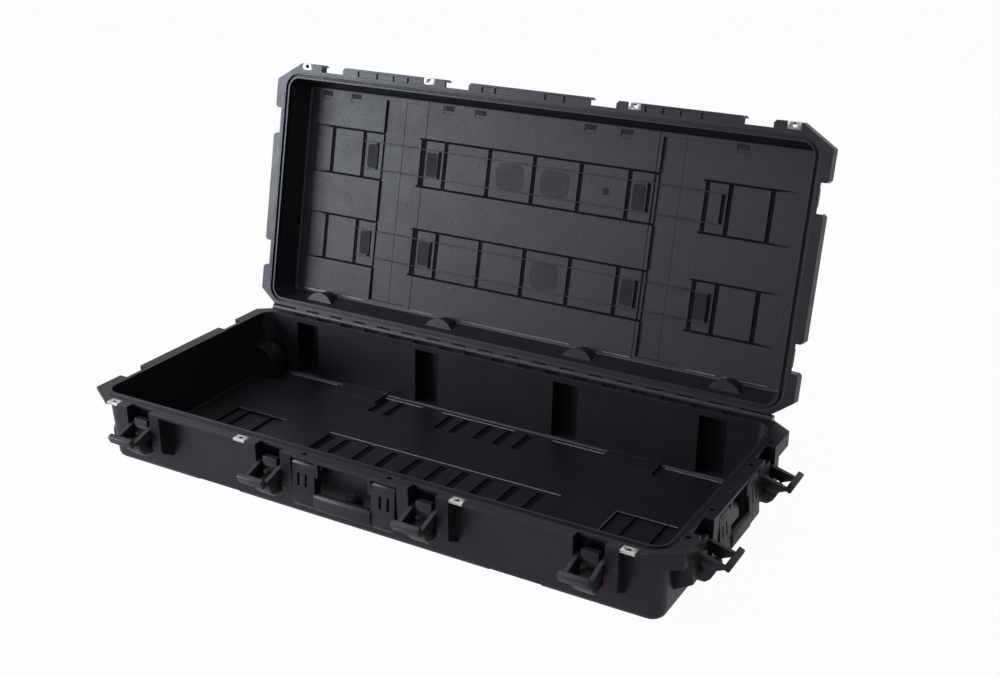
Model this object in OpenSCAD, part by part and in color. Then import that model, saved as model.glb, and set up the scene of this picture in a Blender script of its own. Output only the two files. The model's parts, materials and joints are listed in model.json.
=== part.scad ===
/* [Case] */
// Length of the base over its rim, left to right
case_l = 1272; // [1150:2:1500]
// Depth of the base over its rim, front to back
case_d = 568; // [500:2:800]
// Height from the ground to the top of the sealing ridge
base_h = 147; // [135:1:260]
// Outer height of the lid above the sealing ridge
lid_h = 66; // [56:1:140]
// Angle between the closed and the open lid
lid_open_angle = 103; // [90:1:105]

/* [Walls] */
// Thickness of the side walls of the base and the lid
wall_t = 6; // [5:0.5:9]
// Thickness of the base floor
floor_t = 10; // [9:0.5:16]
// Thickness of the lid top
lid_top_t = 6; // [5:0.5:10]
// Inward lean of the base walls from rim to floor
base_draft = 7; // [4:0.5:10]
// Inward lean of the lid walls from rim to top
lid_draft = 17; // [8:0.5:19]
// Radius of the bottom edges of the base
edge_r = 14; // [12:0.5:20]
// Radius of the outer edges of the lid
lid_edge_r = 9; // [6:0.5:12]
// Radius of the inner edges at the base floor and under the lid top
inner_edge_r = 5; // [4:0.5:8]
// Radius of the upright corners of the walls
corner_r = 34; // [31:1:50]

/* [Rim] */
// Reach of the rim beyond the walls
rim_out = 27; // [24:0.5:36]
// Thickness of the rim plates
rim_t = 6; // [5:0.5:9]
// Height of the sealing ridge above the base rim
ridge_h = 4; // [3:0.25:6]
// Width of the sealing ridge
ridge_w = 5; // [4:0.25:5.5]
// Gap between the two rims when the case is shut
rim_gap = 0.6; // [0.4:0.1:1.2]
// Length of the cut across each front corner of the rims, along the case
rim_chamfer = 64; // [44:1:64]

/* [Latches] */
// Distance of the outer front latches from the ends of the case walls
long_latch_in = 122; // [119:1:160]
// Distance of the inner front latches from the middle of the case
short_latch_x = 168; // [160:1:240]
// Distance of the end latches from the front and back walls
end_latch_in = 107; // [95:1:120]
// Width of the gap that a latch sits in
notch_w = 57; // [54:0.5:64]
// Width of the rib at each side of a latch
latch_rib_w = 24; // [18:0.5:30]
// Radius of the latch pins
latch_pin_r = 2.5; // [2:0.1:3]
// Angle that the open bails hang below level
bail_droop = 25; // [0:1:25]

/* [Handles] */
// Width of each handle arm
arm_w = 50; // [30:1:54]
// Radius of the handle pins
handle_pin_r = 3; // [2.5:0.1:3.5]
// Height of the handle grip
grip_h = 33; // [26:0.5:36]
// Thickness of the handle grip
grip_t = 18; // [14:0.5:20]

/* [Hinge] */
// Distance of the hinge line beyond the back wall
hinge_reach = 15.6; // [14:0.1:18]
// Height of the hinge line above the sealing ridge
hinge_rise = 3.4; // [2.5:0.1:4]
// Radius of the hinge rod
rod_r = 3; // [2.5:0.1:3.5]
// Radius of the hinge knuckles
knuckle_r = 8; // [7.5:0.1:8.5]
// Number of lid knuckles
lid_knuckles = 17; // [9:2:21]

/* [Wheels] */
// Radius of the wheels
wheel_r = 35; // [30:0.5:36]
// Width of the wheels
wheel_w = 28; // [22:0.5:30]
// Radius of the wheel axles
axle_r = 4; // [3:0.25:5]
// Distance of the wheels from the front and back walls
wheel_side = 45; // [41:0.5:57]

/* [Hidden] */
$fn = 64;

// Overrun of every cut past the face that it goes through
over = 1;
// Running clearance round a pin, and the gap between pieces that move past each other
pin_gap = 0.06;
side_gap = 1;
close_gap = 0.4;

// Half sizes of the base walls and of the rim, seen from above
wall_x = case_l / 2 - rim_out;
wall_y = case_d / 2 - rim_out;
rim_x = case_l / 2;
rim_y = case_d / 2;
tub_h = base_h - ridge_h;
rim_low = tub_h - rim_t;
// The ridge stands just inside the outer face of the wall
ridge_inset = 1;
// Places that follow the walls
long_latch_x = wall_x - long_latch_in;
end_latch_y = wall_y - end_latch_in;
hinge_y = wall_y + hinge_reach;
wheel_y = wall_y - wheel_side;

// Floor of the base: side bands, recessed panels and grooves
band_in = 277;
band_out = 382;
band_lip = 6;
band_rise = 5;
band_l = 60;
channel_h = 7;
channel_mid_h = 4;
panel_depth = 3;
groove_depth = 3;
panel_back = 36;
groove_w = 17;
front_groove_shares = [-0.96, -0.81, -0.59, -0.38, -0.16, 0.05, 0.24, 0.44, 0.66, 0.86];
back_groove_shares = [-0.95, -0.80, -0.33, -0.19, 0.02, 0.20, 0.36];
back_groove_in = 25;
back_groove_l = 72;
back_groove_to = wall_y - back_groove_in;
front_groove_in = 43;
groove_front_y = front_groove_in - wall_y;
groove_back_inset = 5;
end_panel_in = 91;
end_panel_out = wall_x - end_panel_in;
end_rib_shares = [0.32, 0.77];
end_rib_w = 3;
foot_step = 1.5;
foot_rail_w = 26;
// Cuts across the corners of the rims
rim_chamfer_y = 40;
back_chamfer_x = 40;
back_chamfer_y = 30;

// Hollow columns in the back wall, behind the inner and the outer latches
column_w = 66;
column_out = 26;
column_head = 2;
column_foot = 10;
column_wall = 4;

// Gussets under the rim, raised pads and round marks on it
gusset_t = 3;
gusset_h = 31;
gusset_shares = [-0.585, -0.481, 0.489, 0.609];
centre_gusset_x = 34;
skirt_t = 7;
skirt_h = 30;
skirt_x = 46;
skirt_y = 82;
pad_w = 42;
pad_d = 9;
pad_rise = 1;
rim_hole_r = 5.5;
rim_hole_x = 92;
rim_hole_y = 195;
rim_hole_out = 12;
rim_hole_depth = 4;

// Latch sizes, out from the wall and down from the top of the ridge
notch_in = 9;
pin_out = 15;
pin_drop = 45;
pin_seat = 6;
rib_face_drop = 85;
rib_wall_drop = 105;
mark_r = 2.5;
mark_t = 2.4;
mark_drop = 78;
mark_inset = 5;
bail_arm_w = 8.5;
bail_eye_r = 9;
plate_near = 51;
plate_t = 12;
plate_low = 12;
plate_high = 30;
plate_r = 3;
arm_top_near = 9;
arm_top_far = 16.5;
arm_low_far = 37;
arm_low_drop = 8;
trigger_w = 32;
trigger_eye_r = 8.5;
trigger_top = 18;
trigger_top_in = 5;
trigger_top_out = 7.5;
lobe_w = notch_w - 2 * side_gap - 2 * bail_arm_w - 2 * close_gap;
lobe_top = 17;
lobe_h = 39;
lobe_out = 43;
lobe_in = 8;
lobe_r = 12;
lobe_shares = [[0, 0], [0.88, 0], [1, 0.18], [1, 0.36], [0.86, 0.64], [0.56, 0.95], [0.40, 1], [0, 1]];
spring_w = 8;
spring_t = 1.8;
catch_w = 34;
catch_out = notch_in;
notch_flare = 5;
catch_h = 7.5;

// Padlock plates, folded over the rims
lock_beside = 67.5;
plate_x_outer = long_latch_x + lock_beside;
plate_x_inner = short_latch_x + lock_beside;
lock_w = 26;
lock_t = 1.5;
lock_in = 10;
lock_hole_r = 4;
// The rims' own holes are a little wider than the holes in the plates
lock_clear = 1;
lock_hole_out = 18;
lock_lip = 5;

// Handle sizes, out from the wall and down from the top of the ridge
handle_out = 17;
handle_drop = 22;
arm_eye_r = 9.5;
arm_end_r = 10;
arm_end_out = 6;
arm_end_drop = 72;
arm_corner_r = 14;
arm_slit = 3.5;
ear_w = 7;
ear_drop = 38;
grip_out = 9;
grip_drop = 64;
core_t = 8;
core_h = 20;
slot_w = 5;
slot_depth = 6;
slot_top = 14;
slot_low = 40;
slot_shares = [0.28, 0.62];

// Hinge: the end knuckles are longer than the ones between them
hinge_end = 39;
end_knuckle_w = 64;
hinge_half = rim_x - hinge_end;
knuckle_span = 2 * (hinge_half - end_knuckle_w);
knuckle_gap = 0.8;
// The arm of a lid knuckle starts a little above the underside of the lid rim
arm_lift = 0.5;
hinge_z = base_h + hinge_rise;
knuckle_w = knuckle_span / (2 * lid_knuckles - 1);

// Lid: panel rows, ribs, bumpers and chamfered rim corners
lid_rim_inset = 3;
lid_back_y = hinge_y - knuckle_r - side_gap;
lid_lip = 4;
collar_h = 8;
channel_gap = 0.6;
seal_t = 3.8;
seal_gap = 0.5;
bumper_t = 5;
bumper_h = 22;
bumper_rib_t = 3;
bumper_rib_shares = [-0.94, -0.86, -0.69, -0.61, -0.54, -0.48, -0.42, -0.18, -0.13, -0.06,
    0.06, 0.13, 0.18, 0.42, 0.48, 0.54, 0.61, 0.69, 0.86, 0.94];
side_rib_shares = [-0.84, -0.33, -0.11, 0.11, 0.33, 0.70, 0.82];
pocket_shares = [[0.42, 0.48], [0.48, 0.54], [0.54, 0.61], [0.61, 0.69], [0.06, 0.13], [0.13, 0.18]];
pocket_near = 8;
pocket_far = 20;
pocket_depth = 2.5;
row_near_share = 0.183;
row_far_share = 0.58;
row_near = row_near_share * wall_y;
row_far = row_far_share * wall_y;
row_end_in = 47;
row_end = wall_x - row_end_in;
row_depth = 2;
row_line_w = 4.5;
row_bar_w = 9.5;
row_bar_depth = 1.5;
row_bar_shares = [-0.915, -0.765, -0.492, -0.386, -0.192, 0, 0.192, 0.386, 0.68, 0.765, 0.915];
lid_band_shares = [[-0.634, -0.461], [0.447, 0.621]];
lid_band_depth = 5;
lid_band_rise = 6;
lid_band_in = 29;
lid_band_end = wall_y - lid_band_in;
line_rib_t = 1.6;
line_rib_share = 0.762;
line_rib_in = 21;
line_rib_stand = 0.8;
lid_slot_w = 8;
lid_slot_l = 57;
lid_slot_shares = [-0.699, -0.411, 0.464, 0.742];
pilaster_r = 38;
pilaster_out = 5;
pilaster_low = 22;
label_w = 27;
label_d = 17;
label_depth = 1;
label_in = 39;
label_shares = [-0.96, -0.82, -0.39, -0.25, 0.21, 0.355, 0.79];

// Wheels, in wells cut through the floor and the left end
wheel_in = 21;
wheel_z = 38;
well_gap = 4;
well_wall = 5;
washer_t = 1.5;
washer_gap = 0.3;
washer_wall = 4;
axle_seat = 3;
hub_r = 21;
hub_recess = 4;
hub_boss_r = 9;
hub_hole_r = 3.6;
hub_hole_place = 13.5;
hub_holes = 5;
tyre_groove_r = 1.5;

// Vent in the front wall, behind the grip
vent_drop = 87;
vent_boss_r = 18;
vent_shank_r = 9;
vent_shank_in = 12;
vent_flange_r = 13.5;
vent_flange_t = 2.5;
vent_gasket_t = 1.5;
vent_cap_r = 11;
vent_cap_t = 4;
vent_slit_w = 2;
vent_slit_depth = 1.6;
vent_slits = 6;

// Each latch: the side it is on (0 front, 1 right end, 2 left end) and its place along that side
LATCHES = [[0, -long_latch_x], [0, -short_latch_x], [0, short_latch_x], [0, long_latch_x],
    [1, -end_latch_y], [1, end_latch_y], [2, -end_latch_y], [2, end_latch_y]];
TURNS = [0, 90, -90];
REACHES = [wall_y, wall_x, wall_x];

black = [0.07, 0.07, 0.08];
dark = [0.11, 0.11, 0.12];
steel = [0.72, 0.73, 0.75];

// Distance of the middle of a base wall from the wall's top outer edge, at a height below the ridge
function wall_mid(z) = -wall_t / 2 + base_draft * z / tub_h;

// Places the origin at the top outer edge of a wall: x along the wall, -y out from it
module on_side(side, place) {
    translate([0, 0, base_h])
        rotate([0, 0, TURNS[side]])
            translate([place, -REACHES[side], 0])
                children();
}

// Sweeps an outline drawn as (out from the wall, up) along the wall
module along(width) {
    rotate([90, 0, 90])
        linear_extrude(width, center = true)
            mirror([1, 0])
                children();
}

// A round bar along the wall, centred on the origin
module bar(r, width) {
    rotate([0, 90, 0])
        cylinder(r = r, h = width, center = true);
}

module rounded_rect(half_x, half_y, r) {
    square([2 * half_x, 2 * (half_y - r)], center = true);
    square([2 * (half_x - r), 2 * half_y], center = true);
    for (sx = [-1, 1], sy = [-1, 1])
        translate([sx * (half_x - r), sy * (half_y - r)])
            circle(r);
}

// Upright section of a tub: wide at the top, rounded at its two lower corners
module tub_section(half_top, lean, depth, r) {
    low = half_top - lean;
    polygon([[-half_top, depth], [half_top, depth], [low, r], [low - r, 0], [r - low, 0], [-low, r]]);
    for (side = [-1, 1])
        translate([side * (low - r), r])
            circle(r);
}

// A tub's upright corner, turned about the corner's own axis
module tub_corner(depth, lean, r, corner) {
    rotate_extrude()
        intersection() {
            tub_section(corner, lean, depth, r);
            square([corner, depth]);
        }
}

// Solid tub with leaning walls and rounded edges, standing on z = 0
module tub(half_x, half_y, depth, lean, r, corner) {
    rotate([90, 0, 90])
        linear_extrude(2 * (half_x - corner), center = true)
            tub_section(half_y, lean, depth, r);
    rotate([90, 0, 0])
        linear_extrude(2 * (half_y - corner), center = true)
            tub_section(half_x, lean, depth, r);
    for (sx = [-1, 1], sy = [-1, 1])
        translate([sx * (half_x - corner), sy * (half_y - corner), 0])
            tub_corner(depth, lean, r, corner);
}

// Outline of a rim with its corners cut off, drawn in by some inset
module rim_outline(half_x, front_y, back_y, inset) {
    polygon([[-half_x + inset, back_y - back_chamfer_y], [-half_x + back_chamfer_x, back_y - inset],
        [half_x - back_chamfer_x, back_y - inset], [half_x - inset, back_y - back_chamfer_y],
        [half_x - inset, -front_y + rim_chamfer_y], [half_x - rim_chamfer, -front_y + inset],
        [-half_x + rim_chamfer, -front_y + inset], [-half_x + inset, -front_y + rim_chamfer_y]]);
}

module block(x0, x1, y0, y1, z0, z1) {
    translate([x0, y0, z0])
        cube([x1 - x0, y1 - y0, z1 - z0]);
}

module mirrored_x() {
    children();
    mirror([1, 0, 0])
        children();
}

// Half length of a handle: it fills the room between the ribs of two latches, less a slit
function handle_half(latch_place) = latch_place - notch_w / 2 - latch_rib_w - arm_slit;

// Base shell, part by part

module base_outside() {
    tub(wall_x, wall_y, tub_h, base_draft, edge_r, corner_r);
    translate([0, 0, rim_low])
        linear_extrude(rim_t)
            rim_outline(rim_x, rim_y, rim_y, 0);
    translate([0, 0, rim_low])
        linear_extrude(base_h - rim_low)
            rounded_rect(wall_x - ridge_inset, wall_y - ridge_inset, corner_r);
}

module base_cavity() {
    translate([0, 0, floor_t])
        tub(wall_x - wall_t, wall_y - wall_t, base_h - floor_t + over, base_draft, inner_edge_r,
            corner_r - wall_t);
}

// Web under the rim: straight at the rim's edge, slanting back to the wall below
module side_web(width, out, face_drop, wall_drop) {
    top = -ridge_h - rim_t / 2;
    along(width)
        polygon([[wall_mid(top), top], [out, top], [out, -face_drop], [wall_mid(-wall_drop), -wall_drop]]);
}

module latch_ribs() {
    for (latch = LATCHES, end = [-1, 1])
        on_side(latch[0], latch[1] + end * (notch_w + latch_rib_w) / 2)
            side_web(latch_rib_w, rim_out, rib_face_drop, rib_wall_drop);
}

module handle_ears(side, half) {
    for (end = [-1, 1])
        on_side(side, end * (half - arm_w - close_gap - ear_w / 2))
            side_web(ear_w, rim_out, ear_drop, ear_drop);
}

module gussets() {
    top = -ridge_h - rim_t / 2;
    places = concat([for (share = gusset_shares) share * wall_x], [-centre_gusset_x, centre_gusset_x]);
    for (place = places)
        on_side(0, place)
            side_web(gusset_t, rim_out - gusset_t, -top + over, gusset_h);
}

// Skirts under the rim at the corners of the right end
module corner_skirts() {
    translate([0, 0, tub_h - skirt_h])
        linear_extrude(skirt_h)
            intersection() {
                difference() {
                    rim_outline(rim_x, rim_y, rim_y, 0);
                    rim_outline(rim_x, rim_y, rim_y, skirt_t);
                }
                for (side = [-1, 1])
                    translate([rim_x, side * rim_y])
                        square([2 * skirt_x, 2 * skirt_y], center = true);
            }
}

module back_columns() {
    for (place = [long_latch_x, short_latch_x], side = [-1, 1])
        block(side * place - column_w / 2, side * place + column_w / 2, 0, wall_y + column_out,
            column_foot, rim_low + over);
}

module back_column_hollows() {
    inner_w = column_w - 2 * column_wall;
    for (place = [long_latch_x, short_latch_x], side = [-1, 1])
        block(side * place - inner_w / 2, side * place + inner_w / 2, wall_y - wall_t - base_draft,
            wall_y + column_out - column_wall, column_foot + column_wall, rim_low - column_head);
}

// Start of the hinge spans: they run from left to right, a lid knuckle first
function span_start(i) = -knuckle_span / 2 + i * knuckle_w;

module knuckle(x0, x1) {
    translate([(x0 + x1) / 2, 0, 0])
        bar(knuckle_r, x1 - x0);
}

module base_knuckles() {
    spans = concat([for (i = [1:2:2 * lid_knuckles - 2]) [span_start(i), span_start(i + 1)]],
        [[-hinge_half, -knuckle_span / 2], [knuckle_span / 2, hinge_half]]);
    for (span = spans)
        translate([0, hinge_y, hinge_z]) {
            knuckle(span[0], span[1]);
            block(span[0], span[1], -knuckle_r, knuckle_r, rim_low + over - hinge_z, 0);
        }
}

module lid_knuckle_room() {
    for (i = [0:2:2 * lid_knuckles - 2])
        translate([0, hinge_y, hinge_z]) {
            translate([span_start(i) + knuckle_w / 2, 0, 0])
                bar(knuckle_r + side_gap, knuckle_w);
            block(span_start(i), span_start(i) + knuckle_w, -knuckle_r - side_gap, knuckle_r + side_gap,
                -hinge_rise, knuckle_r + over);
        }
}

module wheel_places() {
    for (side = [-1, 1])
        translate([wheel_in - wall_x, side * wheel_y, wheel_z])
            rotate([90, 0, 0])
                children();
}

module wheel_housings() {
    intersection() {
        tub(wall_x, wall_y, tub_h, base_draft, edge_r, corner_r);
        wheel_places()
            cylinder(r = wheel_r + well_gap + well_wall, h = wheel_w + 2 * (washer_t + washer_gap + well_wall),
                center = true);
    }
}

module wheel_wells() {
    wheel_places() {
        cylinder(r = wheel_r + well_gap, h = wheel_w + 2 * (washer_t + washer_gap), center = true);
        cylinder(r = axle_r + pin_gap, h = wheel_w + 2 * (washer_t + washer_gap + axle_seat), center = true);
    }
}

module floor_bands() {
    mirrored_x()
        intersection() {
            for (side = [-1, 1])
                translate([0, side * wall_y, 0])
                    block(band_in - band_lip, band_out + band_lip, -band_l, band_l,
                        floor_t - over, floor_t + band_rise);
            tub(wall_x, wall_y, tub_h, base_draft, edge_r, corner_r);
        }
}

module floor_cuts() {
    panel_front = -(wall_y - wall_t - base_draft - edge_r);
    panel_half = band_in - band_lip;
    panel_z = floor_t - panel_depth;
    block(-panel_half, panel_half, panel_front, panel_back, panel_z, floor_t + over);
    for (share = front_groove_shares)
        translate([share * panel_half, 0, 0])
            block(-groove_w / 2, groove_w / 2, groove_front_y, panel_back - groove_back_inset,
                panel_z - groove_depth, floor_t);
    for (share = back_groove_shares)
        translate([share * panel_half, 0, 0])
            block(-groove_w / 2, groove_w / 2, back_groove_to - back_groove_l, back_groove_to,
                floor_t - groove_depth, floor_t + over);
    mirrored_x()
        difference() {
            block(band_out + band_lip, end_panel_out, panel_front, panel_back,
                floor_t - panel_depth - groove_depth, floor_t + over);
            for (share = end_rib_shares)
                translate([band_out + share * (end_panel_out - band_out), 0, 0])
                    block(-end_rib_w / 2, end_rib_w / 2, -wall_y, wall_y, 0, floor_t);
        }
}

module underside_cuts() {
    foot_half_y = wall_y - base_draft - edge_r - foot_rail_w;
    end_reach = case_d - wall_y + band_l - band_lip;
    mirrored_x() {
        block(band_in, band_out, -case_d, case_d, -over, channel_mid_h);
        for (side = [-1, 1])
            translate([0, side * case_d, 0])
                block(band_in, band_out, -end_reach, end_reach, -over, channel_h);
    }
    mirrored_x() {
        block(foot_rail_w / 2, band_in - foot_rail_w, -foot_half_y, foot_half_y, -over, foot_step);
        block(band_out + foot_rail_w, wall_x - base_draft - edge_r - foot_rail_w, -foot_half_y, foot_half_y,
            -over, foot_step);
    }
}

module latch_cuts() {
    for (latch = LATCHES)
        on_side(latch[0], latch[1]) {
            along(notch_w)
                polygon([[notch_in, over], [rim_out + over, over], [rim_out + over, -ridge_h - rim_t - over],
                    [notch_in, -ridge_h - rim_t - over]]);
            translate([0, -pin_out, -pin_drop])
                bar(latch_pin_r + pin_gap, notch_w + 2 * pin_seat);
        }
}

module mark_places() {
    for (latch = LATCHES)
        on_side(latch[0], latch[1] + (latch[0] == 1 ? -1 : 1) * (notch_w / 2 + mark_inset))
            translate([0, -rim_out, -mark_drop])
                rotate([90, 0, 0])
                    children();
}

// Pins of one handle, with their seats in the ear and in the latch rib
module handle_pin_places(side, half) {
    reach = arm_w + close_gap + ear_w + arm_slit;
    for (end = [-1, 1])
        on_side(side, end * (half - arm_w - close_gap - ear_w + (reach + pin_seat) / 2))
            translate([0, -handle_out, -handle_drop])
                children();
}

function handle_pin_l() = arm_w + close_gap + ear_w + arm_slit + pin_seat;

module lock_places(place_z) {
    for (place = [-plate_x_outer, -plate_x_inner, plate_x_inner, plate_x_outer])
        translate([place, -wall_y, place_z])
            children();
}

module rim_marks() {
    for (place = [-rim_hole_x, rim_hole_x])
        on_side(0, place)
            translate([0, -rim_hole_out, -ridge_h - rim_hole_depth])
                cylinder(r = rim_hole_r, h = rim_hole_depth + over);
    for (place = [-rim_hole_y, -rim_hole_x, rim_hole_x, rim_hole_y])
        on_side(1, place)
            translate([0, -rim_hole_out, -ridge_h - rim_hole_depth])
                cylinder(r = rim_hole_r, h = rim_hole_depth + over);
}

module rim_pads() {
    for (side = [0, 1])
        on_side(side, 0)
            translate([-pad_w / 2, -rim_out / 2 - pad_d / 2, -ridge_h - over])
                cube([pad_w, pad_d, pad_rise + over - rim_gap]);
}

module vent_place() {
    on_side(0, 0)
        translate([0, 0, -vent_drop])
            rotate([90, 0, 0])
                children();
}

module base_shell() {
    color(black)
        difference() {
            union() {
                difference() {
                    union() {
                        base_outside();
                        latch_ribs();
                        handle_ears(0, handle_half(short_latch_x));
                        handle_ears(1, handle_half(end_latch_y));
                        gussets();
                        corner_skirts();
                        back_columns();
                        vent_place()
                            translate([0, 0, -wall_t - base_draft])
                                cylinder(r = vent_boss_r, h = wall_t + base_draft);
                    }
                    base_cavity();
                    back_column_hollows();
                }
                rim_pads();
                base_knuckles();
                floor_bands();
                wheel_housings();
            }
            lid_knuckle_room();
            translate([0, hinge_y, hinge_z])
                bar(rod_r + pin_gap, 2 * hinge_half + over);
            wheel_wells();
            floor_cuts();
            underside_cuts();
            latch_cuts();
            mark_places()
                translate([0, 0, -mark_t])
                    cylinder(r = mark_r, h = mark_t + over);
            handle_pin_places(0, handle_half(short_latch_x))
                bar(handle_pin_r + pin_gap, handle_pin_l());
            handle_pin_places(1, handle_half(end_latch_y))
                bar(handle_pin_r + pin_gap, handle_pin_l());
            lock_places(tub_h) {
                translate([0, -lock_hole_out, -rim_t - over])
                    cylinder(r = lock_hole_r + lock_clear, h = rim_t + 2 * over);
                block(-lock_w / 2, lock_w / 2, -rim_out - over, -lock_in, -lock_t, over);
                block(-lock_w / 2, lock_w / 2, -rim_out - over, lock_t - rim_out, -rim_t - over, over);
            }
            rim_marks();
            vent_place()
                translate([0, 0, -vent_shank_in - over])
                    cylinder(r = vent_shank_r + pin_gap, h = vent_shank_in + 2 * over);
        }
}

// Lid, drawn shut and then swung open about the hinge

module opened() {
    translate([0, hinge_y, hinge_z])
        rotate([-lid_open_angle, 0, 0])
            translate([0, -hinge_y, -hinge_z])
                children();
}

lid_low = base_h - ridge_h + rim_gap;
lid_x = rim_x - lid_rim_inset;
lid_y = rim_y - lid_rim_inset;

module lid_outline(inset) {
    rim_outline(lid_x, lid_y, lid_back_y, inset);
}

module lid_tub(shrink, top, room, r) {
    translate([0, 0, base_h + top])
        mirror([0, 0, 1])
            tub(wall_x - shrink, wall_y - shrink, top + room, lid_draft, r, corner_r - shrink);
}

module lid_bumpers() {
    translate([0, 0, lid_low])
        linear_extrude(rim_t + bumper_h)
            difference() {
                lid_outline(0);
                lid_outline(bumper_t);
                translate([0, lid_back_y])
                    square([2 * wall_x, 2 * bumper_t], center = true);
            }
    for (share = bumper_rib_shares)
        translate([share * wall_x, 0, 0])
            block(-bumper_rib_t / 2, bumper_rib_t / 2, -lid_y + bumper_t / 2, -wall_y + wall_t + lid_draft,
                lid_low, lid_low + rim_t + bumper_h);
    for (share = side_rib_shares, side = [-1, 1])
        translate([side * (lid_x - (rim_out + lid_draft) / 2), share * wall_y,
            lid_low + (rim_t + bumper_h) / 2])
            cube([rim_out + lid_draft, bumper_rib_t, rim_t + bumper_h], center = true);
}

module lid_catches() {
    for (latch = LATCHES)
        on_side(latch[0], latch[1])
            along(catch_w)
                polygon([[-wall_t / 2, rim_gap - ridge_h], [catch_out, rim_gap - ridge_h], [catch_out, catch_h],
                    [-wall_t, catch_h]]);
}

// Gaps for the latches, widening at the rim's edge
module lid_notches() {
    half = notch_w / 2;
    edge = rim_out - lid_rim_inset;
    for (latch = LATCHES)
        on_side(latch[0], latch[1])
            translate([0, 0, -ridge_h])
                linear_extrude(lid_h + ridge_h)
                    polygon([[-half, -notch_in], [half, -notch_in], [half, notch_flare - edge],
                        [half + notch_flare + over, -edge - over], [-half - notch_flare - over, -edge - over],
                        [-half, notch_flare - edge]]);
}

// Shallow pockets between the ribs in the mating face of the lid rim
module lid_rim_pockets() {
    mirrored_x()
        for (span = pocket_shares)
            block(span[0] * wall_x + bumper_rib_t / 2, span[1] * wall_x - bumper_rib_t / 2,
                -wall_y - pocket_far, -wall_y - pocket_near, lid_low - over, lid_low + pocket_depth);
}

// Each lid knuckle and the arm that joins it to the wall
module lid_knuckle_arms() {
    root = wall_y - wall_t / 2 - hinge_y;
    low = lid_low + arm_lift - hinge_z;
    for (i = [0:2:2 * lid_knuckles - 2])
        translate([span_start(i) + knuckle_w / 2, hinge_y, hinge_z])
            rotate([90, 0, 90])
                linear_extrude(knuckle_w - knuckle_gap, center = true) {
                    circle(knuckle_r);
                    polygon([[root, low], [0, low], [0, knuckle_r], [root, knuckle_r]]);
                }
}

module lid_bands() {
    for (band = lid_band_shares)
        block(band[0] * wall_x, band[1] * wall_x, -lid_band_end, lid_band_end,
            base_h + lid_h - lid_top_t, base_h + lid_h + lid_band_rise);
}

module lid_pilasters() {
    intersection() {
        for (place = [long_latch_x, short_latch_x], side = [-1, 1])
            translate([side * place, wall_y + pilaster_out, base_h + pilaster_low])
                cylinder(r = pilaster_r, h = lid_h - lid_top_t / 2 - pilaster_low);
        lid_tub(0, lid_h, 0, lid_edge_r);
    }
}

module lid_line_ribs() {
    half = line_rib_share * row_end;
    for (side = [-1, 1], y = [row_near + line_rib_in, row_far - line_rib_in])
        block(-half, half, side * y - line_rib_t / 2, side * y + line_rib_t / 2,
            base_h + lid_h - lid_top_t - line_rib_stand, base_h + lid_h - over);
}

module lid_panel_cuts() {
    panel_z = base_h + lid_h - lid_top_t;
    for (band = lid_band_shares)
        block(band[0] * wall_x + lid_top_t, band[1] * wall_x - lid_top_t,
            -lid_band_end + lid_top_t, lid_band_end - lid_top_t,
            panel_z - over, panel_z + lid_band_depth);
    for (side = [-1, 1]) {
        translate([0, side * (row_near + row_far) / 2, 0]) {
            block(-row_end, row_end, (row_near - row_far) / 2, (row_far - row_near) / 2,
                panel_z - over, panel_z + row_depth);
            for (edge = [-1, 1])
                translate([0, edge * (row_far - row_near) / 2, 0])
                    block(-row_end, row_end, -row_line_w / 2, row_line_w / 2,
                        panel_z - over, panel_z + row_depth + row_bar_depth);
            for (share = row_bar_shares)
                translate([share * row_end, 0, 0])
                    block(-row_bar_w / 2, row_bar_w / 2, (row_near - row_far) / 2, (row_far - row_near) / 2,
                        panel_z - over, panel_z + row_depth + row_bar_depth);
        }
        for (share = lid_slot_shares)
            translate([share * row_end, side * (row_near + row_far) / 2, 0])
                block(-lid_slot_w / 2, lid_slot_w / 2, -lid_slot_l / 2, lid_slot_l / 2, panel_z - over,
                    panel_z + row_depth + row_bar_depth);
    }
    for (share = label_shares)
        translate([share * row_end, label_in - wall_y, panel_z - over])
            translate([-label_w / 2, -label_d / 2, 0])
                cube([label_w, label_d, over + label_depth]);
}

// Groove that the ridge of the base enters, with the seal at its bottom
module seal_channel(low, high) {
    out_x = wall_x - ridge_inset + channel_gap;
    out_y = wall_y - ridge_inset + channel_gap;
    width = ridge_w + 2 * channel_gap;
    translate([0, 0, base_h + low])
        linear_extrude(high - low)
            difference() {
                rounded_rect(out_x, out_y, corner_r);
                rounded_rect(out_x - width, out_y - width, corner_r - width);
            }
}

module lid_shut() {
    difference() {
        union() {
            difference() {
                union() {
                    lid_tub(0, lid_h, 0, lid_edge_r);
                    translate([0, 0, lid_low])
                        linear_extrude(rim_t)
                            lid_outline(0);
                    lid_bumpers();
                    lid_bands();
                }
                lid_tub(wall_t, lid_h - lid_top_t, ridge_h + over, inner_edge_r);
                lid_notches();
            }
            translate([0, 0, lid_low])
                linear_extrude(collar_h + ridge_h)
                    difference() {
                        rounded_rect(wall_x - ridge_inset, wall_y - ridge_inset, corner_r);
                        rounded_rect(wall_x - wall_t - lid_lip, wall_y - wall_t - lid_lip,
                            corner_r - wall_t - lid_lip);
                    }
            lid_catches();
            lid_knuckle_arms();
            lid_pilasters();
        }
        lid_panel_cuts();
        lid_rim_pockets();
        seal_channel(-ridge_h, seal_gap + seal_t);
        translate([0, hinge_y, hinge_z])
            bar(rod_r + pin_gap, 2 * hinge_half + over);
        lock_places(lid_low) {
            translate([0, -lock_hole_out, -over])
                cylinder(r = lock_hole_r + lock_clear, h = rim_t + 2 * over);
            block(-lock_w / 2, lock_w / 2, -rim_out - over, -lock_in, -over, lock_t);
            block(-lock_w / 2, lock_w / 2, -rim_out - over, lid_rim_inset + lock_t - rim_out, -over, rim_t);
        }
    }
    lid_line_ribs();
}

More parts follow.
